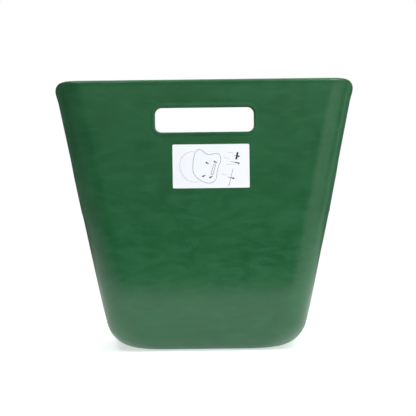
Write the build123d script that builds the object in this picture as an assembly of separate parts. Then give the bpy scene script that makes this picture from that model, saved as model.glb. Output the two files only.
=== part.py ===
from build123d import *
import os
from math import cos, hypot, radians, sin, sqrt, tan

# Wall-hung stable feed bucket: one moulded shell with a tall flat back panel that carries a hand slot,
# a deep D-shaped bowl in front of it, and a printed self-adhesive label on the back.
# Millimetres, +Z up. The origin is the middle of the bounding box at floor level.
# +Y is the back panel's outward side and the bowl opens towards -Y and up.

# Overall size. The back panel is moulded proud by the trim and planed flat to BACK_Y.
TOTAL_HEIGHT = 333.0
DEPTH = 310.0
BACK_Y = DEPTH / 2
PANEL_TRIM = 0.03
WALL = 4.5

# Walls: half-width where the back and side planes meet at floor level, how far each wall leans out going up,
# and how far the sides splay going forward, at the base and from the rim's level up
BASE_HALF_WIDTH = 113.6
SIDE_LEAN = 0.2055
FRONT_LEAN = tan(radians(12))
BASE_FLARE = 0.07
RIM_FLARE = 0.103

# Rim line of the sides and front
RIM_HEIGHT = 177.0
SHOULDER_RADIUS = 35.0
SHOULDER_TURN = 81.0
SWEEP_RADIUS = 60.0
RIM_ROUNDING = 2.0

# Length that cutting tools run past the bucket, and how closely edges are picked out by their place
CLEAR = 10.0
SLACK = 0.01

# Roundings between the walls and the base, as (height, depth) of a quarter ellipse
BACK_FOOT = (95.0, 58.0)
SIDE_FOOT = (44.0, 44.0)
FRONT_FOOT = (80.0, 70.0)

# Upright corners and the bowed front, each as (radius at the base, radius at the rim)
BACK_CORNER = (40.0, 38.0)
FRONT_CORNER = (72.0, 112.0)
FRONT_BOW = 350.0

# Hand slot with the rolled collar round it on the inside
SLOT_WIDTH = 120.0
SLOT_HEIGHT = 30.0
SLOT_CORNER = 8.0
SLOT_CENTRE_Z = 284.0
COLLAR_RING = 6.0
COLLAR_DEPTH = 11.0
SLOT_ROUNDING = 4.0
COLLAR_ROUNDING = 2.0

# Label: its adhesive is bedded in the wall, the film lies on the face and the ink on the film
LABEL_WIDTH = 93.0
LABEL_HEIGHT = 53.0
LABEL_CENTRE_X = -7.4
LABEL_CENTRE_Z = 227.5
LABEL_CORNER = 1.5
ADHESIVE = 0.05
FILM = 0.12
INK = 0.04
HEAVY_LINE = 2.1
BOLD_LINE = 1.1
LINE = 0.4
FINE_LINE = 0.2


def foot_offset(height, lean, foot):
    """How far out a leaning wall stands at a height, from its line's place at floor level."""
    high, deep = foot
    scaled_lean = lean * high / deep
    slope = hypot(1, scaled_lean)
    if height >= high * (1 - scaled_lean / slope):
        return lean * height
    return deep / high * (high * (scaled_lean - slope) + sqrt(high**2 - (high - height) ** 2))


def blend(pair, height):
    """A value that goes steadily from its size at the base to its size at the rim, and on above it."""
    return pair[0] + (pair[1] - pair[0]) * height / RIM_HEIGHT


def section(height, inset):
    """The bucket's closed outline at a height, moved in from the outer skin by inset."""
    above = height - inset

    def wall(lean, foot):
        shift = inset * (lean - hypot(1, lean))
        return shift + foot_offset(above, lean, (foot[0] - inset, foot[1] - inset))

    flare = BASE_FLARE + (RIM_FLARE - BASE_FLARE) * sin(radians(90) * min(height / RIM_HEIGHT, 1))
    slope = hypot(1, flare)
    side = BASE_HALF_WIDTH + wall(SIDE_LEAN, SIDE_FOOT)
    back = -wall(0, BACK_FOOT)
    rounded_off = RIM_ROUNDING * (FRONT_LEAN + hypot(1, FRONT_LEAN) - 1)
    front = DEPTH + rounded_off - FRONT_LEAN * RIM_HEIGHT + wall(FRONT_LEAN, FRONT_FOOT)

    # back corner: an arc tangent to the back line and the flared side line
    corner = blend(BACK_CORNER, height) - inset
    corner_x = side + flare * (back + corner) - corner * slope
    side_start = (corner_x + corner / slope, back + corner - corner * flare / slope)
    corner_mid = arc_middle((corner_x, back + corner), corner, (corner_x, back), side_start)

    # front corner: an arc tangent to the side line and inside the bowed front
    nose = blend(FRONT_CORNER, height) - inset
    bow = FRONT_BOW - inset
    bow_centre = front - bow
    reach = side - nose * slope
    half_b = reach * flare - bow_centre
    rest = reach**2 + bow_centre**2 - (bow - nose) ** 2
    nose_d = (-half_b + sqrt(half_b**2 - slope**2 * rest)) / slope**2
    nose_x = reach + flare * nose_d
    side_end = (nose_x + nose / slope, nose_d - nose * flare / slope)
    grow = bow / (bow - nose)
    bow_start = (nose_x * grow, bow_centre + (nose_d - bow_centre) * grow)
    nose_mid = arc_middle((nose_x, nose_d), nose, side_end, bow_start)

    def place(point, sign=1):
        return (sign * point[0], BACK_Y + PANEL_TRIM - point[1], height)

    edges = [Line(place((corner_x, back), -1), place((corner_x, back)))]
    edges.append(ThreePointArc(place((corner_x, back)), place(corner_mid), place(side_start)))
    edges.append(Line(place(side_start), place(side_end)))
    edges.append(ThreePointArc(place(side_end), place(nose_mid), place(bow_start)))
    edges.append(ThreePointArc(place(bow_start), place((0, front)), place(bow_start, -1)))
    edges.append(ThreePointArc(place(bow_start, -1), place(nose_mid, -1), place(side_end, -1)))
    edges.append(Line(place(side_end, -1), place(side_start, -1)))
    edges.append(
        ThreePointArc(place(side_start, -1), place(corner_mid, -1), place((corner_x, back), -1))
    )
    return Wire([edge.edge() for edge in edges])


def arc_middle(centre, radius, start, end):
    """The point of an arc half-way between its ends."""
    toward = ((start[0] + end[0]) / 2 - centre[0], (start[1] + end[1]) / 2 - centre[1])
    stretch = radius / hypot(*toward)
    return (centre[0] + toward[0] * stretch, centre[1] + toward[1] * stretch)


def levels(start, top):
    """Section heights: close together round the foot, where the walls turn under, and even above it."""
    foot_top = BACK_FOOT[0]
    foot_steps = 14
    wall_steps = 20
    quarter = radians(90) / foot_steps
    foot = [start + (foot_top - start) * (1 - cos(quarter * i)) for i in range(foot_steps)]
    return foot + [foot_top + (top - foot_top) * i / wall_steps for i in range(wall_steps + 1)]


def skin(inset, top):
    """The solid inside the bucket's skin at an inset, running up past the rim."""
    return Solid.make_loft([section(height, inset) for height in levels(inset, top)])


def above_rim():
    """Everything above the rim line: level over the back panel, swept down the sides to the bowl."""
    turn = radians(SHOULDER_TURN)
    drop = TOTAL_HEIGHT - RIM_HEIGHT - (SHOULDER_RADIUS + SWEEP_RADIUS) * (1 - cos(turn))
    start = (BACK_Y - WALL, TOTAL_HEIGHT)
    shoulder = JernArc(start, (-1, 0), SHOULDER_RADIUS, SHOULDER_TURN)
    fall = PolarLine(shoulder @ 1, drop / sin(turn), direction=shoulder % 1)
    sweep = JernArc(fall @ 1, fall % 1, SWEEP_RADIUS, -SHOULDER_TURN)
    high = TOTAL_HEIGHT + 3 * CLEAR
    outside = Polyline(
        sweep @ 1,
        (-DEPTH, RIM_HEIGHT),
        (-DEPTH, high),
        (BACK_Y + CLEAR, high),
        (BACK_Y + CLEAR, TOTAL_HEIGHT),
        start,
    )
    profile = Plane.YZ * make_face(shoulder + fall + sweep + outside)
    return extrude(profile, amount=DEPTH, both=True)


def on_panel(depth, x=0.0, z=0.0):
    """A sketch plane parallel to the back panel, at a depth inwards from its face, looking outwards."""
    return Plane(origin=(x, BACK_Y - depth, z), x_dir=(-1, 0, 0), z_dir=(0, 1, 0))


def slot_outline(margin):
    """The hand slot's rounded outline, grown by a margin."""
    width = SLOT_WIDTH + 2 * margin
    return RectangleRounded(width, SLOT_HEIGHT + 2 * margin, SLOT_CORNER + margin)


def rim_edges(shell):
    """The rim's long edges, inner and outer, without the short ones that cross the wall."""
    tops = [face for face in shell.faces() if face.geom_type != GeomType.BSPLINE]
    tops = [face for face in tops if face.bounding_box().min.Z > RIM_HEIGHT - SLACK]
    edges = [edge for face in tops for edge in face.edges()]
    return ShapeList([edge for edge in edges if edges.count(edge) == 1])


def slot_rims(shell, depth, outline_margin):
    """The closed ring of edges that the slot, or its collar, has at a depth from the panel's face."""
    y = BACK_Y - depth
    half_width = SLOT_WIDTH / 2 + outline_margin
    half_height = SLOT_HEIGHT / 2 + outline_margin
    level = shell.edges().filter_by(lambda edge: edge.bounding_box().size.Y < SLACK)
    level = level.filter_by_position(Axis.Y, y - SLACK, y + SLACK)

    def on_ring(edge):
        far_x = max(abs(edge.bounding_box().min.X), abs(edge.bounding_box().max.X))
        far_z = max(abs(vertex.Z - SLOT_CENTRE_Z) for vertex in edge.vertices())
        on_end = abs(far_x - half_width) < SLACK and far_z <= half_height + SLACK
        return on_end or (abs(far_z - half_height) < SLACK and far_x <= half_width + SLACK)

    return level.filter_by(on_ring)


def bucket_shell():
    """The moulded shell: skin, rim, the hand slot with its collar, and the bed that the label sits in."""
    shell = Part() + skin(0, TOTAL_HEIGHT + CLEAR) - skin(WALL, TOTAL_HEIGHT + 2 * CLEAR)
    proud = Pos(0, BACK_Y + CLEAR, TOTAL_HEIGHT / 2) * Box(2 * DEPTH, 2 * CLEAR, 2 * TOTAL_HEIGHT)
    shell = shell - proud - above_rim()
    shell = fillet(rim_edges(shell), RIM_ROUNDING)

    collar = on_panel(WALL / 2, z=SLOT_CENTRE_Z) * slot_outline(COLLAR_RING)
    shell += extrude(collar, amount=WALL / 2 - COLLAR_DEPTH)
    opening = on_panel(-CLEAR, z=SLOT_CENTRE_Z) * slot_outline(0)
    shell -= extrude(opening, amount=-CLEAR - 2 * COLLAR_DEPTH)
    shell = fillet(slot_rims(shell, 0, 0), SLOT_ROUNDING)
    inner_rings = slot_rims(shell, COLLAR_DEPTH, 0) + slot_rims(shell, COLLAR_DEPTH, COLLAR_RING)
    shell = fillet(inner_rings, COLLAR_ROUNDING)
    return shell - label_layer(-ADHESIVE, ADHESIVE)


def label_layer(start, thickness):
    """A sheet of the label's outline, its underside at a height over the panel's face."""
    outline = RectangleRounded(LABEL_WIDTH, LABEL_HEIGHT, LABEL_CORNER)
    return extrude(on_panel(-start, LABEL_CENTRE_X, LABEL_CENTRE_Z) * outline, amount=thickness)


def ink_pieces():
    """A plain fitting diagram, in the label's own plane: a bucket lying on its side, and three screws."""
    mouth = Spline(
        [(-22, -3), (-20, -10.5), (-11.5, -17.8), (1, -20), (5, -17), (7, -9), (9.3, 0), (11.9, 9)]
        + [(9, 14.5), (-3, 14), (-8.5, 17), (-13.4, 20.2), (-17.8, 18.4), (-20.5, 11.5), (-21.8, 4)],
        periodic=True,
    )
    bowl = Spline([(-20, 17.5), (-31.5, 14.6), (-36.5, 8.5), (-37.8, 0), (-36, -8), (-30, -15.5), (-13, -18)])
    length, breadth = 14, 2.8
    slot = SlotOverall(length, breadth) - SlotOverall(length - 2 * LINE, breadth - 2 * LINE)
    pieces = [trace(mouth, LINE), trace(bowl, FINE_LINE), Pos(2.8, -4) * Rot(0, 0, 74) * slot]

    # the four fixing points: a washer and the shank that leads from it
    for x, y, turn in ((-5.5, 4.2, -32), (4.2, 5.4, -25), (-10, -12.4, 26), (-1.2, -13.8, 29)):
        place = Pos(x, y) * Rot(0, 0, turn)
        pieces.append(place * (Circle(HEAVY_LINE / 2) + Pos(1.6, 0) * Rectangle(3.2, BOLD_LINE)))

    # the exploded screws: each has a fine tip, a thicker neck and a head, and a bar crosses the first
    for x, y, turn, length in ((31, 12.1, -12, 5.6), (28.6, 4.3, -14, 10), (23.5, -14.2, -14, 7)):
        place = Pos(x, y) * Rot(0, 0, turn)
        head = Pos(length / 2, 0) * Circle(HEAVY_LINE / 2)
        neck = Pos(length / 4, 0) * Rectangle(length / 2, BOLD_LINE)
        tip = Pos(-length / 4, 0) * Rectangle(length / 2 + LINE, LINE)
        pieces.append(place * (head + neck + tip))
    pieces.append(Pos(31.4, 12.1) * Rot(0, 0, -12) * Rectangle(HEAVY_LINE, 9))

    # the leader lines of the screws, and the rail that the bucket is screwed to
    leaders = ((24.2, 16, -9, 8), (19, 9.5, -14, 7), (22.8, 1.5, 2, 9.5), (16.4, -10.6, -12, 6))
    for x, y, turn, length in leaders:
        pieces.append(Pos(x, y) * Rot(0, 0, turn) * Rectangle(length, FINE_LINE))
    pieces.append(Pos(23.9, -13.9) * Rot(0, 0, 76) * Rectangle(22, LINE))
    return pieces


def label_print():
    """The label's printing, a thin layer of ink on the film."""
    drawing = Sketch() + ink_pieces()
    surface = on_panel(-FILM, LABEL_CENTRE_X, LABEL_CENTRE_Z)
    return extrude(surface * drawing, amount=INK)


if __name__ == "__main__":
    os.makedirs("parts", exist_ok=True)
    nodes = {
        "bucket_shell": bucket_shell(),
        "label_adhesive": label_layer(-ADHESIVE, ADHESIVE),
        "label_film": label_layer(0, FILM),
        "label_print": label_print(),
    }
    for name, solid in nodes.items():
        export_step(solid, f"parts/{name}.step")
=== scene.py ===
from math import cos, hypot, pi, radians, sin, tan

import bmesh
import bpy
import numpy as np
from mathutils import Matrix, Vector
from mathutils.geometry import delaunay_2d_cdt


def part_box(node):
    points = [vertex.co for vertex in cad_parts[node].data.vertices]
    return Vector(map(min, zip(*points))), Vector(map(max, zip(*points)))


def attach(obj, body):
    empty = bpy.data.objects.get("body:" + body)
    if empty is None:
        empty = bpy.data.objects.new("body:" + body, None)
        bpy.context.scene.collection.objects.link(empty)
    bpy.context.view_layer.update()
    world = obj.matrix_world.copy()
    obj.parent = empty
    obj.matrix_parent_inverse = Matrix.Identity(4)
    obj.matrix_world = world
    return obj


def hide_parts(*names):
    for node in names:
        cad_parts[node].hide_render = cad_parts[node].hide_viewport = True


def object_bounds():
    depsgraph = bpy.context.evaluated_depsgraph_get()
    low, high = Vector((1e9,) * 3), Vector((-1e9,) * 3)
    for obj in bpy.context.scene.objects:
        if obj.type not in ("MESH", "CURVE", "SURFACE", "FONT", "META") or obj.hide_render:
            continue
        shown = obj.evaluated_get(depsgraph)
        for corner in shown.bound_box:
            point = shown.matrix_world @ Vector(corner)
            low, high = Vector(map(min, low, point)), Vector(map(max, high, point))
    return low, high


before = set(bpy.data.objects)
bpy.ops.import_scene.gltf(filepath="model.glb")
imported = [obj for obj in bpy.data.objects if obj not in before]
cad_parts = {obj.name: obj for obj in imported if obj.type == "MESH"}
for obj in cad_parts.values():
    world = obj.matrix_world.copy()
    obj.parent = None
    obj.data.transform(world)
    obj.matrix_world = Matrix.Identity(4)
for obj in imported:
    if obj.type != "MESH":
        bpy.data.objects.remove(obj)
cad_low, cad_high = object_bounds()
shell_low, shell_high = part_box("bucket_shell")

MM = 0.001

# The bucket's driving sizes, as the CAD model has them
HEIGHT = shell_high.z
BACK_Y = shell_high.y
DEPTH = shell_high.y - shell_low.y
WALL = 4.5 * MM
BASE_HALF_WIDTH = 113.6 * MM
SIDE_LEAN = 0.2055
FRONT_LEAN = tan(radians(12))
BASE_FLARE = 0.07
RIM_FLARE = 0.103
RIM_HEIGHT = 177 * MM
SHOULDER_RADIUS = 35 * MM
SHOULDER_TURN = radians(81)
SWEEP_RADIUS = 60 * MM
BACK_FOOT = (95 * MM, 58 * MM)
SIDE_FOOT = (44 * MM, 44 * MM)
FRONT_FOOT = (80 * MM, 70 * MM)
BACK_CORNER = (40 * MM, 38 * MM)
FRONT_CORNER = (72 * MM, 112 * MM)
FRONT_BOW = 350 * MM
SLOT_HALF = (60 * MM, 15 * MM)
SLOT_CORNER = 8 * MM
SLOT_Z = 284 * MM
COLLAR_DEPTH = 11 * MM
COLLAR_RING = 6 * MM

# The finer shape of the rim: the bead's radius, how far below the rim the wall starts to swell into it,
# and the groove under it, whose floor is level between two distances from the rim and fades out at a third
RIM_BEAD = 3.2 * MM
RIM_SWELL = 18 * MM
GROOVE_DEPTH = 0.22 * MM
GROOVE_FLOOR = (7 * MM, 8 * MM)
GROOVE_END = 22 * MM

# How far the rim flares out, and the heights between which each flare sets in. Both flares start at the
# panel's upright corners, between these places round the outline.
TOP_FLARE = 1.7 * MM
TOP_FLARE_HEIGHTS = (HEIGHT - 26 * MM, HEIGHT - 8 * MM)
BOWL_FLARE = 0.6 * MM
BOWL_FLARE_HEIGHTS = (240 * MM, 215 * MM)
FLARE_START = (0.95, 1.6)

# The hand slot's edge: its rounding, the low lip round it with a shallow dish outside that, and the collar
SLOT_ROLL = 2.0 * MM
LIP_FOOT = 5.4 * MM
LIP_RISE = 0.26 * MM
SLOT_DISH = 0.06 * MM
SLOT_MIDDLE = 6.5 * MM
COLLAR_ROLL = 2 * MM
COLLAR_FILLET = 1.8 * MM

# Mesh density: columns in each stretch of the outline, the rows' height, the width of the bands that follow
# the rim and the slot, how far the grid stays clear of them, the rim's band's rows by their distance from
# the rim, and the sizes of the rings that close the base
COLUMNS = (18, 14, 22, 20, 9)
ROW = 5.5 * MM
RIM_BAND = 9 * MM
SLOT_BAND = 10 * MM
GRID_GAP = 0.55 * ROW
BAND_ROWS = [q * MM for q in (9, 8, 7, 6.1, 5.3, 4.6, 3.9)]
BASE_RINGS = (1, 0.93, 0.85, 0.75, 0.6, 0.45, 0.3, 0.15, 0)


# ---------------------------------------------------------------- the bucket's skin as formulas


def foot_offset(z, lean, foot):
    """How far out a leaning wall stands at heights z, from its line's place at floor level."""
    high, deep = foot
    scaled = lean * high / deep
    slope = hypot(1, scaled)
    turn = high * (1 - scaled / slope)
    under = deep / high * (high * (scaled - slope) + np.sqrt(np.maximum(high**2 - (high - z) ** 2, 0)))
    return np.where(z >= turn, lean * z, under)


def skin(u, z, inset=WALL / 2):
    """Points of the skin moved in by inset. u runs round half the outline, one unit for each stretch:
    half the back, the back corner, the side, the front corner and half the bowed front. With no inset given
    it is the middle of the wall."""
    u, z = np.broadcast_arrays(np.asarray(u, float), np.asarray(z, float))

    def wall(lean, foot):
        shift = inset * (lean - hypot(1, lean))
        return shift + foot_offset(z - inset, lean, (foot[0] - inset, foot[1] - inset))

    flare = BASE_FLARE + (RIM_FLARE - BASE_FLARE) * np.sin(pi / 2 * np.minimum(z / RIM_HEIGHT, 1))
    slope = np.hypot(1, flare)
    side = BASE_HALF_WIDTH + wall(SIDE_LEAN, SIDE_FOOT)
    back = -wall(0, BACK_FOOT)
    front = DEPTH - FRONT_LEAN * RIM_HEIGHT + wall(FRONT_LEAN, FRONT_FOOT)

    corner = BACK_CORNER[0] + (BACK_CORNER[1] - BACK_CORNER[0]) * z / RIM_HEIGHT - inset
    corner_d = back + corner
    corner_x = side + flare * corner_d - corner * slope
    nose = FRONT_CORNER[0] + (FRONT_CORNER[1] - FRONT_CORNER[0]) * z / RIM_HEIGHT - inset
    bow = FRONT_BOW - inset
    bow_centre = front - bow
    reach = side - nose * slope
    half_b = reach * flare - bow_centre
    rest = reach**2 + bow_centre**2 - (bow - nose) ** 2
    nose_d = (-half_b + np.sqrt(half_b**2 - slope**2 * rest)) / slope**2
    nose_x = reach + flare * nose_d

    stretch = np.clip(np.floor(u), 0, 4).astype(int)
    t = u - stretch
    side_angle = np.arctan2(-flare, 1.0)
    bow_angle = np.arctan2(nose_d - bow_centre, nose_x)

    corner_angle = -pi / 2 + (side_angle + pi / 2) * t
    nose_angle = side_angle + (bow_angle - side_angle) * t
    front_angle = bow_angle + (pi / 2 - bow_angle) * t
    side_x0, side_d0 = corner_x + corner / slope, corner_d - corner * flare / slope
    side_x1, side_d1 = nose_x + nose / slope, nose_d - nose * flare / slope
    x = np.choose(stretch, [
        corner_x * t,
        corner_x + corner * np.cos(corner_angle),
        side_x0 + (side_x1 - side_x0) * t,
        nose_x + nose * np.cos(nose_angle),
        bow * np.cos(front_angle),
    ])
    d = np.choose(stretch, [
        back,
        corner_d + corner * np.sin(corner_angle),
        side_d0 + (side_d1 - side_d0) * t,
        nose_d + nose * np.sin(nose_angle),
        bow_centre + bow * np.sin(front_angle),
    ])
    return np.stack([x, BACK_Y - d, z], axis=-1)


def tangents(u, z):
    """The skin's two tangents and its outward unit normal."""
    du, dz = 1e-4, 0.02 * MM
    along_u = (skin(u + du, z) - skin(u - du, z)) / (2 * du)
    along_z = (skin(u, z + dz) - skin(u, z - dz)) / (2 * dz)
    normal = np.cross(along_z, along_u)
    return along_u, along_z, normal / np.linalg.norm(normal, axis=-1, keepdims=True)


def march(u, z, along, reach, step=0.5 * MM):
    """Walks over the skin from points (u, z) in the direction along, for each distance in reach."""
    u, z, along = u.copy(), z.copy(), along.copy()
    gone, stops = 0.0, []
    for target in reach:
        while gone < target - 1e-9:
            stride = min(step, target - gone)
            tu, tz, normal = tangents(u, z)
            along -= normal * np.sum(along * normal, axis=-1, keepdims=True)
            along /= np.linalg.norm(along, axis=-1, keepdims=True)
            a, b, c = np.sum(tu * tu, -1), np.sum(tu * tz, -1), np.sum(tz * tz, -1)
            p, q = np.sum(along * tu, -1), np.sum(along * tz, -1)
            det = a * c - b * b
            u = u + stride * (c * p - b * q) / det
            z = z + stride * (a * q - b * p) / det
            gone += stride
        stops.append((u.copy(), z.copy()))
    return stops


def rim_profile():
    """Points (distance from the back, height) down the swept side of the rim, about evenly spaced."""
    drop = HEIGHT - RIM_HEIGHT - (SHOULDER_RADIUS + SWEEP_RADIUS) * (1 - cos(SHOULDER_TURN))
    length = drop / sin(SHOULDER_TURN)
    turns = np.linspace(0, SHOULDER_TURN, 16)
    shoulder = np.stack([
        WALL + SHOULDER_RADIUS * np.sin(turns),
        HEIGHT - SHOULDER_RADIUS * (1 - np.cos(turns)),
    ], axis=-1)
    steps = np.linspace(0, length, 17)[1:, None]
    fall = shoulder[-1] + steps * np.array([cos(SHOULDER_TURN), -sin(SHOULDER_TURN)])
    turns = np.linspace(SHOULDER_TURN, 0, 20)[1:]
    sweep = fall[-1] + SWEEP_RADIUS * np.stack([
        sin(SHOULDER_TURN) - np.sin(turns),
        np.cos(SHOULDER_TURN) - np.cos(turns),
    ], axis=-1)
    return np.concatenate([shoulder, fall, sweep])


def u_at_depth(d, z):
    """Where on the corner or side of the outline the skin is at a distance from the back."""
    low, high = np.full(len(d), 0.999), np.full(len(d), 4.999)
    for _ in range(40):
        mid = (low + high) / 2
        near = BACK_Y - skin(mid, z)[:, 1] < d
        low, high = np.where(near, mid, low), np.where(near, high, mid)
    return (low + high) / 2


def rim_line():
    """The rim as (u, z) on the skin: along the back panel's top, down the side, round the bowl's mouth."""
    swept = rim_profile()
    swept = swept[swept[:, 0] > WALL / 2 + 0.4 * MM]
    u_swept = u_at_depth(swept[:, 0], swept[:, 1])
    u_back = np.linspace(0, u_swept[0], 26)[:-1]
    u_front = [np.linspace(u_swept[-1], 3, 20)[1:], np.linspace(3, 4, 24)[1:], np.linspace(4, 5, 12)[1:]]
    u_front = np.concatenate(u_front)
    u = np.concatenate([u_back, u_swept, u_front])
    z = np.concatenate([np.full(len(u_back), HEIGHT), swept[:, 1], np.full(len(u_front), RIM_HEIGHT)])
    return u, z


# ---------------------------------------------------------------- wall thickness, rim bead and slot edge


def smooth(x, start, end):
    """0 at start, 1 at end, and level at both."""
    t = np.clip((x - start) / (end - start), 0, 1)
    return t * t * (3 - 2 * t)


def half_thickness(q):
    """Half the wall's thickness at a distance q from the rim: the wall swells into the rim's bead."""
    return WALL / 2 + (RIM_BEAD - WALL / 2) * smooth(q, RIM_SWELL, RIM_BEAD)


def lift(u, z, q):
    """How far the wall's middle stands out near the rim: the bead swells inwards over a shallow groove, and
    the rim flares out a little at the panel's top corners and round the bowl's mouth."""
    flare = TOP_FLARE * smooth(z, *TOP_FLARE_HEIGHTS) + BOWL_FLARE * smooth(z, *BOWL_FLARE_HEIGHTS)
    flare = flare * smooth(u, *FLARE_START) * (1 - smooth(q, 0, RIM_SWELL))
    groove = GROOVE_DEPTH * smooth(q, RIM_BEAD, GROOVE_FLOOR[0]) * smooth(q, GROOVE_END, GROOVE_FLOOR[1])
    return flare - groove - (half_thickness(q) - WALL / 2)


def wall_point(u, z, q, side):
    """A point of the wall's face: side is 1 on the outer face and -1 on the inner one, or between."""
    normal = tangents(u, z)[2]
    flat = (z < WALL / 2 + 1e-7)[..., None]
    normal = np.where(flat, np.array([0, 0, -1.0]), normal)
    return skin(u, z) + normal * (lift(u, z, q) + side * half_thickness(q))[..., None]


def bead():
    """The rim's cross-section from the outer face over the bead to the inner one, as (q, side)."""
    approach = [(q, 1) for q in BAND_ROWS]
    round_over = [(RIM_BEAD * (1 - cos(a)), sin(a)) for a in np.radians(np.arange(90, -91, -15))]
    return approach + round_over + [(q, -side) for q, side in reversed(approach)]


def arc(centre, radius, start, end, steps):
    """Points of an arc, as (q, depth)."""
    turns = np.radians(np.linspace(start, end, steps + 1))
    return [(centre[0] + radius * cos(a), centre[1] + radius * sin(a)) for a in turns]


def slot_section():
    """The hand slot's edge from the panel's face, through the slot and over the collar, as (q, depth)."""
    outer = np.linspace(SLOT_BAND, SLOT_ROLL, 13)[:-1]
    dish = SLOT_DISH * smooth(outer, SLOT_BAND, LIP_FOOT) * smooth(outer, SLOT_ROLL, LIP_FOOT)
    section = list(zip(outer, dish - LIP_RISE * smooth(outer, LIP_FOOT, SLOT_ROLL)))
    section += arc((SLOT_ROLL, SLOT_ROLL - LIP_RISE), SLOT_ROLL, 270, 180, 6)
    section += [(0, SLOT_MIDDLE)]
    section += arc((COLLAR_ROLL, COLLAR_DEPTH - COLLAR_ROLL), COLLAR_ROLL, 180, 90, 4)
    section += arc((COLLAR_RING - COLLAR_ROLL, COLLAR_DEPTH - COLLAR_ROLL), COLLAR_ROLL, 90, 0, 4)
    section += arc((COLLAR_RING + COLLAR_FILLET, WALL + COLLAR_FILLET), COLLAR_FILLET, 180, 270, 4)
    return section + [(SLOT_BAND, WALL)]


def slot_ring(q):
    """Half the slot's outline grown by q, from its top middle round to its bottom middle, as (x, z)."""
    radius = SLOT_CORNER + q
    x1, z1 = SLOT_HALF[0] - SLOT_CORNER, SLOT_HALF[1] - SLOT_CORNER
    across = np.linspace(0, x1, 9)[:-1]
    turn = np.linspace(pi / 2, 0, 8)
    down = np.linspace(z1, -z1, 4)[1:-1]
    top = np.stack([across, np.full(8, z1 + radius)], axis=-1)
    bend = np.stack([x1 + radius * np.cos(turn), z1 + radius * np.sin(turn)], axis=-1)
    end = np.stack([np.full(len(down), x1 + radius), down], axis=-1)
    half = np.concatenate([top, bend, end])
    ring = np.concatenate([half, (half * (1, -1))[: len(top) + len(bend)][::-1]])
    return ring + (0, SLOT_Z)


def slot_distance(points):
    """Distance in the panel's plane from points (x, z) to the slot's outline."""
    away = np.abs(points - (0, SLOT_Z)) - np.array(SLOT_HALF) + SLOT_CORNER
    return np.linalg.norm(np.maximum(away, 0), axis=-1) + np.minimum(away.max(-1), 0) - SLOT_CORNER


# ---------------------------------------------------------------- the shell's mesh

# About how long each stretch of the outline is, added up, which spaces the flat layout's columns
STRETCH_ENDS = np.cumsum([0, 118, 44, 165, 150, 62]) * MM
FOOT_HIGH = BACK_FOOT[0] - WALL / 2


def run_at(z):
    """Distance up the wall from the base's edge, which spaces the rows evenly round the foot."""
    above = np.maximum(z - WALL / 2, 0)
    turned = FOOT_HIGH * np.arccos(np.clip(1 - above / FOOT_HIGH, 0, 1))
    return np.where(above < FOOT_HIGH, turned, FOOT_HIGH * pi / 2 + above - FOOT_HIGH)


def height_at(run):
    """The height that run_at gives that distance for."""
    turned = FOOT_HIGH * (1 - np.cos(run / FOOT_HIGH))
    above = np.where(run < FOOT_HIGH * pi / 2, turned, run - FOOT_HIGH * (pi / 2 - 1))
    return above + WALL / 2


def flat_map(u, z):
    """The skin laid out flat: distance round the outline and distance up the wall."""
    return np.stack([np.interp(u, range(6), STRETCH_ENDS), run_at(z)], axis=-1)


def column_places():
    """u for each column of the wall's grid."""
    stretches = [k + np.arange(n) / n for k, n in enumerate(COLUMNS)]
    return np.concatenate([*stretches, [5.0]])


def nearest(points, line):
    """Distance from each point to a line of close points."""
    found = np.full(len(points), 1e9)
    for a, b in zip(line[:-1], line[1:]):
        t = np.clip((points - a) @ (b - a) / np.dot(b - a, b - a), 0, 1)
        found = np.minimum(found, np.linalg.norm(points - a - t[:, None] * (b - a), axis=-1))
    return found


def wall_patch(rim, rim_ring, slot_u, slot_z):
    """The wall between its base, the rim's band and the slot's band: (u, z, q) of its points, and faces."""
    columns = column_places()
    top_run = float(run_at(np.array(HEIGHT)))
    rows = np.linspace(0, top_run, int(top_run / ROW))
    uu, rr = np.meshgrid(columns, rows)
    u, z = uu.ravel(), height_at(rr.ravel())
    points = skin(u, z)
    profile = rim_profile()
    depth = BACK_Y - points[:, 1]
    under = z < np.interp(depth, profile[:, 0], profile[:, 1])
    q = nearest(points, skin(*rim))
    clear = under & (q > RIM_BAND + GRID_GAP)
    clear &= (u > 1) | (slot_distance(points[:, [0, 2]]) > SLOT_BAND + GRID_GAP)
    base, left, right = z < WALL / 2 + 1e-9, u == 0, u == 5
    inside = clear & ~base & ~left & ~right

    below_slot = z < SLOT_Z
    loop = [
        (u[base], z[base]),
        (u[right & clear & ~base], z[right & clear & ~base]),
        (rim_ring[0][::-1], rim_ring[1][::-1]),
        (u[left & clear & ~below_slot][::-1], z[left & clear & ~below_slot][::-1]),
        (slot_u, slot_z),
        (u[left & clear & below_slot & ~base][::-1], z[left & clear & below_slot & ~base][::-1]),
    ]
    loop_u, loop_z = (np.concatenate([part[k] for part in loop]) for k in (0, 1))
    all_u, all_z = np.concatenate([loop_u, u[inside]]), np.concatenate([loop_z, z[inside]])
    all_q = nearest(skin(all_u, all_z), skin(*rim))
    start = len(loop[0][0]) + len(loop[1][0])
    all_q[start : start + len(rim_ring[0])] = RIM_BAND
    flat = [Vector(p) for p in flat_map(all_u, all_z)]
    edges = [(i, (i + 1) % len(loop_u)) for i in range(len(loop_u))]
    made = delaunay_2d_cdt(flat, edges, [list(range(len(loop_u)))], 1, 1e-9)
    source = [ids[0] for ids in made[3]]
    faces = [tuple(source[i] for i in face) for face in made[2]]
    return all_u, all_z, all_q, faces


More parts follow.
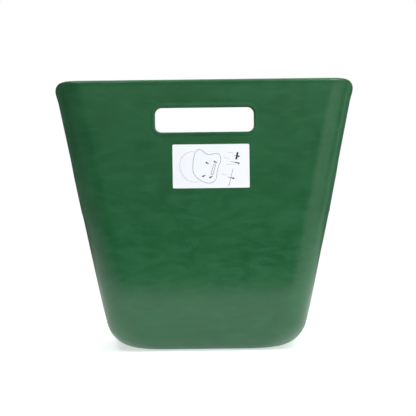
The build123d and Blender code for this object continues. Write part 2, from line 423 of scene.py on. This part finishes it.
class MeshParts:
    """Collects vertices and faces of one mesh."""

    def __init__(self):
        self.points, self.faces, self.count = [], [], 0

    def add(self, points, faces):
        """Adds a patch, whose faces count its own points from 0."""
        self.points.append(np.asarray(points))
        self.faces += [tuple(i + self.count for i in face) for face in faces]
        self.count += len(points)

    def add_strip(self, rings):
        """Quads between rings of the same number of points."""
        n = len(rings[0])
        faces = [
            (r * n + i, r * n + i + 1, (r + 1) * n + i + 1, (r + 1) * n + i)
            for r in range(len(rings) - 1)
            for i in range(n - 1)
        ]
        self.add(np.concatenate(rings), faces)


def shell_parts():
    """The half of the shell on the +X side."""
    parts = MeshParts()
    rim = rim_line()
    rim_points = skin(*rim)
    tangent = np.gradient(rim_points, axis=0)
    normal = tangents(*rim)[2]
    inward = np.cross(normal, tangent)
    inward[[0, -1]] = (0, 0, -1)
    inward /= np.linalg.norm(inward, axis=-1, keepdims=True)
    section = bead()
    reach = sorted({q for q, _ in section})
    stops = dict(zip(reach, march(*rim, inward, reach)))
    for end, u_end in ((0, 0.0), (-1, 5.0)):
        for stop in stops.values():
            stop[0][end] = u_end
    rings = []
    for q, side in section:
        u, z = stops[q]
        q_bead = np.full(len(u), max(q, RIM_BEAD))
        rings.append(wall_point(u, z, q_bead, side))
    parts.add_strip(rings)

    edge = slot_section()
    slot_rings = [slot_ring(q) for q, _ in edge]
    parts.add_strip([
        np.stack([ring[:, 0], np.full(len(ring), BACK_Y - depth), ring[:, 1]], axis=-1)
        for ring, (_, depth) in zip(slot_rings, edge)
    ])
    outer_ring = slot_rings[0]
    slot_u = outer_ring[:, 0] / skin(1.0, outer_ring[:, 1])[:, 0]
    u, z, q, faces = wall_patch(rim, stops[RIM_BAND], slot_u, outer_ring[:, 1])
    for side in (1, -1):
        parts.add(wall_point(u, z, q, side), faces)

    base_u = column_places()
    base_z = np.full(len(base_u), WALL / 2)
    for side in (1, -1):
        edge = wall_point(base_u, base_z, np.full(len(base_u), 1.0), side)
        centre = np.array([0, edge[:, 1].mean(), edge[0, 2]])
        parts.add_strip([centre + (edge - centre) * share for share in BASE_RINGS])
    return parts


def make_shell():
    """The whole shell: the half and its mirror image, joined into one closed mesh."""
    parts = shell_parts()
    points = np.concatenate(parts.points)
    mesh = bpy.data.meshes.new("bucket_body")
    mesh.from_pydata(points.tolist(), [], parts.faces)
    form = bmesh.new()
    form.from_mesh(mesh)
    mirrored = bmesh.ops.duplicate(form, geom=form.verts[:] + form.edges[:] + form.faces[:])["geom"]
    for item in mirrored:
        if isinstance(item, bmesh.types.BMVert):
            item.co.x = -item.co.x
    bmesh.ops.remove_doubles(form, verts=form.verts, dist=0.02 * MM)
    bmesh.ops.dissolve_degenerate(form, edges=form.edges, dist=0.001 * MM)
    bmesh.ops.recalc_face_normals(form, faces=form.faces)
    form.to_mesh(mesh)
    form.free()
    for face in mesh.polygons:
        face.use_smooth = True
    shell = bpy.data.objects.new("bucket_body", mesh)
    bpy.context.collection.objects.link(shell)
    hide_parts("bucket_shell")
    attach(shell, "root")
    return shell


shell = make_shell()


# ---------------------------------------------------------------- materials

# Places of a Mix node's sockets when it mixes colours
COLOUR_MIX = {"factor": 0, "first": 6, "second": 7, "result": 2}

# Colours, as linear red, green and blue
GREEN_PLAIN = (0.0056, 0.0887, 0.025, 1)
GREEN_DEEP = (0.0041, 0.0764, 0.0209, 1)
GREEN_PALE = (0.0090, 0.1085, 0.0400, 1)
# Pale green of scratches and rubbing, also used as a painted highlight on the rim and a painted reflection at
# the base's edge
GREEN_SCUFF_AND_HIGHLIGHT = (0.0251, 0.1753, 0.075, 1)
PAPER_COOL = (0.83, 0.86, 0.91, 1)
PAPER_WARM = (0.85, 0.87, 0.905, 1)
PAPER_SHADE = (0.70, 0.73, 0.78, 1)
INK_DARK = (0.008, 0.008, 0.010, 1)
INK_THIN = (0.045, 0.046, 0.052, 1)
GLUE_CLEAR = (0.42, 0.44, 0.42, 1)
GLUE_DUSTY = (0.24, 0.25, 0.24, 1)

# Paler edges, wear together with a painted highlight along the rim and a painted reflection along the base's
# edge: they fade out between these distances from the rim, and these heights over the base, and are this
# strong at the rim when they are 1 at the base
RIM_WEAR_AND_HIGHLIGHT = (5 * MM, 1.5 * MM)
BASE_WEAR_AND_REFLECTION = (7 * MM, 1 * MM)
RIM_WEAR_AND_HIGHLIGHT_SHARE = 0.7


class Finish:
    """A procedural material, made from noises in the object's own coordinates. Lengths are in metres."""

    def __init__(self, name, settings):
        self.material = bpy.data.materials.new(name)
        self.material.use_nodes = True
        self.tree = self.material.node_tree
        self.shader = self.tree.nodes["Principled BSDF"]
        for socket, value in settings.items():
            self.shader.inputs[socket].default_value = value
        self.place = self.node("TexCoord").outputs["Object"]

    def join(self, socket, value):
        """Links an output to a socket, or sets the socket to a plain value."""
        if isinstance(value, bpy.types.NodeSocket):
            self.tree.links.new(value, socket)
        else:
            socket.default_value = value

    def node(self, kind, inputs=None, **settings):
        """A new node with its settings made and its inputs joined."""
        made = self.tree.nodes.new("ShaderNode" + kind)
        for name, value in settings.items():
            setattr(made, name, value)
        for name, value in (inputs or {}).items():
            self.join(made.inputs[name], value)
        return made

    def noise(self, size, detail=2.0, stretch=(1, 1, 1), warp=0.0):
        """Noise from 0 to 1 whose blotches are about size across, drawn out along the axes by stretch."""
        scale = [1 / (size * s) for s in stretch]
        place = self.node("Mapping", {"Vector": self.place, "Scale": scale}).outputs["Vector"]
        made = self.node("TexNoise", {"Vector": place, "Scale": 1.0, "Detail": detail, "Distortion": warp})
        return made.outputs[0]

    def level(self, value, start, end, low=0.0, high=1.0):
        """Maps a value from start..end smoothly to low..high."""
        ends = {"Value": value, "From Min": start, "From Max": end, "To Min": low, "To Max": high}
        return self.node("MapRange", ends, interpolation_type="SMOOTHSTEP").outputs["Result"]

    def combine(self, operation, *values):
        """Adds or multiplies values."""
        total = values[0]
        for value in values[1:]:
            made = self.node("Math", operation=operation)
            self.join(made.inputs[0], total)
            self.join(made.inputs[1], value)
            total = made.outputs[0]
        return total

    def hairlines(self, size, stretch, width, warp=0.3):
        """Thin wandering lines, from 0 to 1: the places where a drawn-out noise crosses its middle."""
        field = self.noise(size, 1.0, stretch, warp)
        off_line = self.node("Math", operation="SUBTRACT")
        self.join(off_line.inputs[0], field)
        self.join(off_line.inputs[1], 0.5)
        away = self.node("Math", operation="ABSOLUTE")
        self.join(away.inputs[0], off_line.outputs[0])
        return self.level(away.outputs[0], 0.0, width, 1.0, 0.0)

    def blend(self, share, first, second):
        """A colour between two others."""
        made = self.node("Mix", data_type="RGBA")
        for slot, value in (("factor", share), ("first", first), ("second", second)):
            self.join(made.inputs[COLOUR_MIX[slot]], value)
        return made.outputs[COLOUR_MIX["result"]]

    def attribute(self, name):
        """A number stored at each point of the mesh."""
        return self.node("Attribute", attribute_name=name).outputs["Fac"]

    def complete(self, colour, roughness, relief):
        """Joins colour, roughness and a relief to the shader. The relief is pairs of a height from 0 to 1 and
        a depth in metres."""
        self.join(self.shader.inputs["Base Color"], colour)
        self.join(self.shader.inputs["Roughness"], roughness)
        heights = [self.combine("MULTIPLY", height, depth) for height, depth in relief]
        bump = self.node("Bump", {"Height": self.combine("ADD", *heights), "Strength": 1.0, "Distance": 1.0})
        self.join(self.shader.inputs["Normal"], bump.outputs["Normal"])
        return self.material


def green_polyethylene():
    """Moulded polyethylene: cloudy pigment, a waxy skin with a fine grain, hairline scratches in a few
    patches, and paler edges: rubbing, with a painted highlight along the rim and a painted reflection along
    the base's edge."""
    finish = Finish("green_polyethylene", {"IOR": 1.5, "Specular IOR Level": 0.5})
    clouds = finish.noise(38 * MM, 3.0, warp=0.4)
    smears = finish.noise(11 * MM, 4.0, (2.4, 1, 0.8), warp=0.8)
    grain = finish.noise(0.9 * MM, 2.0)
    pebble = finish.noise(3.2 * MM, 2.0)
    waves = finish.noise(62 * MM, 1.0)
    scuffs = finish.hairlines(5 * MM, (7, 7, 0.5), 0.012)
    cross_scuffs = finish.hairlines(6 * MM, (2.2, 2.2, 5), 0.009)
    rubbed = finish.level(finish.noise(24 * MM, 2.0), 0.52, 0.72)
    scratches = finish.combine("MULTIPLY", finish.combine("ADD", scuffs, cross_scuffs), rubbed)
    patchy = finish.level(smears, 0.3, 0.7, 0.35, 1.0)
    wear_and_painted_light = finish.combine("MULTIPLY", finish.attribute("edge_wear_and_painted_light"), patchy)

    colour = finish.blend(finish.level(clouds, 0.36, 0.64), GREEN_DEEP, GREEN_PLAIN)
    colour = finish.blend(finish.level(smears, 0.42, 0.7, 0.0, 0.5), colour, GREEN_PALE)
    colour = finish.blend(finish.level(pebble, 0.3, 0.7, 0.0, 0.12), colour, GREEN_DEEP)
    colour = finish.blend(finish.combine("MULTIPLY", scratches, 0.3), colour, GREEN_SCUFF_AND_HIGHLIGHT)
    # paler edges: rubbing, with a painted highlight along the rim and a painted reflection along the base's
    # edge
    colour = finish.blend(finish.combine("MULTIPLY", wear_and_painted_light, 0.5), colour, GREEN_SCUFF_AND_HIGHLIGHT)
    roughness = finish.combine(
        "ADD",
        finish.level(smears, 0.3, 0.7, 0.28, 0.36),
        finish.level(clouds, 0.3, 0.7, 0.0, 0.05),
        finish.combine("MULTIPLY", scratches, 0.12),
        finish.combine("MULTIPLY", wear_and_painted_light, 0.08),
    )
    relief = [(waves, 0.5 * MM), (pebble, 0.012 * MM), (grain, 0.003 * MM), (scratches, -0.006 * MM)]
    return finish.complete(colour, roughness, relief)


def label_paper():
    """Coated white paper with faint fibres and a slightly uneven gloss."""
    finish = Finish("label_paper", {"IOR": 1.45})
    fibres = finish.noise(0.5 * MM, 3.0, (4, 1, 1), warp=0.5)
    tone = finish.noise(12 * MM, 3.0)
    colour = finish.blend(finish.level(tone, 0.3, 0.7), PAPER_COOL, PAPER_WARM)
    colour = finish.blend(finish.level(fibres, 0.5, 0.8, 0.0, 0.1), colour, PAPER_SHADE)
    relief = [(fibres, 0.004 * MM), (tone, 0.08 * MM)]
    return finish.complete(colour, finish.level(fibres, 0.3, 0.7, 0.4, 0.52), relief)


def label_ink():
    """Printed ink: near black, thinner and greyer where the print is patchy."""
    finish = Finish("label_ink", {"IOR": 1.5, "Specular IOR Level": 0.15})
    patches = finish.noise(0.7 * MM, 3.0)
    colour = finish.blend(finish.level(patches, 0.4, 0.75), INK_DARK, INK_THIN)
    return finish.complete(colour, finish.level(patches, 0.3, 0.7, 0.42, 0.6), [(patches, 0.003 * MM)])


def label_glue():
    """Clear acrylic adhesive at the label's edge, greyed where dust has stuck to it."""
    finish = Finish("label_glue", {"IOR": 1.48})
    dust = finish.noise(1.5 * MM, 4.0)
    colour = finish.blend(finish.level(dust, 0.45, 0.7), GLUE_CLEAR, GLUE_DUSTY)
    return finish.complete(colour, finish.level(dust, 0.3, 0.7, 0.25, 0.6), [(dust, 0.01 * MM)])


def dress(piece, material):
    """Gives a piece one material."""
    piece.data.materials.clear()
    piece.data.materials.append(material)


def mark_wear_and_painted_light(shell):
    """Stores how pale each point of the shell turns, wear with a painted highlight at the rim and a painted
    reflection round the base's edge: most at the rim and round the base's edge.
    """
    points = np.array([v.co for v in shell.data.vertices])
    points[:, 0] = np.abs(points[:, 0])
    # painted highlight on the rim's bead and painted reflection at the base's edge, along with wear
    at_rim = smooth(nearest(points, skin(*rim_line())), *RIM_WEAR_AND_HIGHLIGHT)
    at_base = smooth(points[:, 2], *BASE_WEAR_AND_REFLECTION)
    store = shell.data.attributes.new("edge_wear_and_painted_light", "FLOAT", "POINT")
    store.data.foreach_set("value", np.maximum(at_rim * RIM_WEAR_AND_HIGHLIGHT_SHARE, at_base).astype(np.float32))


mark_wear_and_painted_light(shell)
dress(shell, green_polyethylene())
for node_name, make_material in {
    "label_film": label_paper,
    "label_print": label_ink,
    "label_adhesive": label_glue,
}.items():
    dress(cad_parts[node_name], make_material())


# ---------------------------------------------------------------- floor, light and camera

# The floor, in metres: solid out to one distance and clear at its edge, and widened from a circle to an oval
FLOOR_GAP = 0.3 * MM
FLOOR_FADE = 0.30
FLOOR_RADIUS = 0.62
FLOOR_WIDENING = 1.8
FLOOR_WHITE = (0.9, 0.9, 0.9, 1)
FLOOR_ROUGHNESS = 0.9
FLOOR_TINT = (0.95, 0.98, 1.0, 1)
FLOOR_GLOW = 0.6
ROOM_GREY = (0.14, 0.14, 0.14, 1)

# The camera: how far it is behind the back panel, how wide the picture is there, its turn and its place
VIEW_DISTANCE = 1.5
VIEW_WIDTH = 503.4 * MM
VIEW_TURN = radians(-0.68)
VIEW_X = -3.1 * MM
VIEW_Z = 0.531 * HEIGHT

# Soft lights, in metres: place, size and brightness. The camera's right is -X.
LIGHTS = {
    "ceiling": ((0, 0.1, 1.5), (1.6, 0.7), 3.0),
    "top_left": ((0.4, BACK_Y + 0.5, 0.8), (0.35, 0.25), 6.5),
    "top_right": ((-0.4, BACK_Y + 0.5, 0.8), (0.35, 0.25), 8.4),
    "key": ((-0.5, BACK_Y + 0.75, 0.95), (0.4, 0.3), 4.6),
    "far_key": ((-1.2, BACK_Y + 1.1, 1.2), (0.9, 0.9), 2.4),
    "behind_camera": ((0, BACK_Y + 2.4, 0.9), (1.6, 1.0), 0.65),
    "right_high": ((-1.0, BACK_Y + 0.3, 0.9), (0.7, 0.5), 2.2),
    "right_card": ((-0.95, BACK_Y + 0.45, 0.25), (0.8, 0.7), 0.93),
    "right_front_card": ((-0.9, BACK_Y + 1.0, 0.35), (0.5, 0.8), 0.65),
    "left_card": ((0.95, BACK_Y + 0.45, 0.25), (0.8, 0.7), 0.2),
    "right_strip": ((-1.0, BACK_Y - 0.35, 0.25), (0.1, 0.6), 1.8),
    "front_fill": ((0.4, -1.6, 1.0), (1.0, 0.8), 4.0),
}

def make_floor():
    """An oval white floor whose edge fades into the background."""
    bpy.ops.mesh.primitive_circle_add(vertices=96, radius=FLOOR_RADIUS, fill_type="NGON")
    floor = bpy.context.object
    floor.name = "studio_floor"
    floor.location.z = -FLOOR_GAP
    floor.scale.x = FLOOR_WIDENING
    material = bpy.data.materials.new("floor_white")
    material.use_nodes = True
    nodes, links = material.node_tree.nodes, material.node_tree.links
    shader = nodes["Principled BSDF"]
    shader.inputs["Base Color"].default_value = FLOOR_WHITE
    shader.inputs["Roughness"].default_value = FLOOR_ROUGHNESS
    shader.inputs["Emission Color"].default_value = FLOOR_TINT
    shader.inputs["Emission Strength"].default_value = FLOOR_GLOW
    place = nodes.new("ShaderNodeTexCoord")
    radius = nodes.new("ShaderNodeVectorMath")
    radius.operation = "LENGTH"
    fade = nodes.new("ShaderNodeMapRange")
    fade.interpolation_type = "SMOOTHSTEP"
    fade.inputs["From Min"].default_value = FLOOR_FADE
    fade.inputs["From Max"].default_value = FLOOR_RADIUS
    clear = nodes.new("ShaderNodeBsdfTransparent")
    mix = nodes.new("ShaderNodeMixShader")
    links.new(place.outputs["Object"], radius.inputs[0])
    links.new(radius.outputs["Value"], fade.inputs["Value"])
    links.new(fade.outputs["Result"], mix.inputs[0])
    links.new(shader.outputs[0], mix.inputs[1])
    links.new(clear.outputs[0], mix.inputs[2])
    links.new(mix.outputs[0], nodes["Material Output"].inputs["Surface"])
    dress(floor, material)


def make_world():
    """A white background behind the object and a dim grey room round it."""
    world = bpy.data.worlds.new("studio")
    world.use_nodes = True
    nodes, links = world.node_tree.nodes, world.node_tree.links
    room = nodes["Background"]
    room.inputs["Color"].default_value = ROOM_GREY
    backdrop = nodes.new("ShaderNodeBackground")
    backdrop.inputs["Color"].default_value = (1, 1, 1, 1)
    ray = nodes.new("ShaderNodeLightPath")
    mix = nodes.new("ShaderNodeMixShader")
    links.new(ray.outputs["Is Camera Ray"], mix.inputs[0])
    links.new(room.outputs[0], mix.inputs[1])
    links.new(backdrop.outputs[0], mix.inputs[2])
    links.new(mix.outputs[0], nodes["World Output"].inputs["Surface"])
    bpy.context.scene.world = world


def soft_light(name, place, aim, size, brightness):
    """A rectangular soft light. A brightness of 1 looks as bright as the white background."""
    data = bpy.data.lights.new(name, "AREA")
    data.shape = "RECTANGLE"
    data.size, data.size_y = size
    data.energy = brightness * pi * size[0] * size[1]
    light = bpy.data.objects.new(name, data)
    light.location = place
    light.rotation_euler = (Vector(aim) - Vector(place)).to_track_quat("-Z", "Y").to_euler()
    bpy.context.collection.objects.link(light)


def make_camera():
    """Looks straight at the back panel, with the picture turned a little to one side."""
    data = bpy.data.cameras.new("camera")
    data.lens = data.sensor_width * VIEW_DISTANCE / VIEW_WIDTH
    camera = bpy.data.objects.new("camera", data)
    turn = Matrix.Rotation(VIEW_TURN, 4, "Y")
    camera.matrix_world = (
        Matrix.Translation((VIEW_X, BACK_Y + VIEW_DISTANCE, VIEW_Z)) @ turn @ Matrix.Rotation(pi, 4, "Z")
        @ Matrix.Rotation(pi / 2, 4, "X")
    )
    bpy.context.collection.objects.link(camera)
    bpy.context.scene.camera = camera


centre = (cad_low + cad_high) / 2
make_floor()
make_world()
for name, (place, size, brightness) in LIGHTS.items():
    soft_light(name, place, centre, size, brightness)
make_camera()
bpy.context.scene.view_settings.view_transform = "Standard"
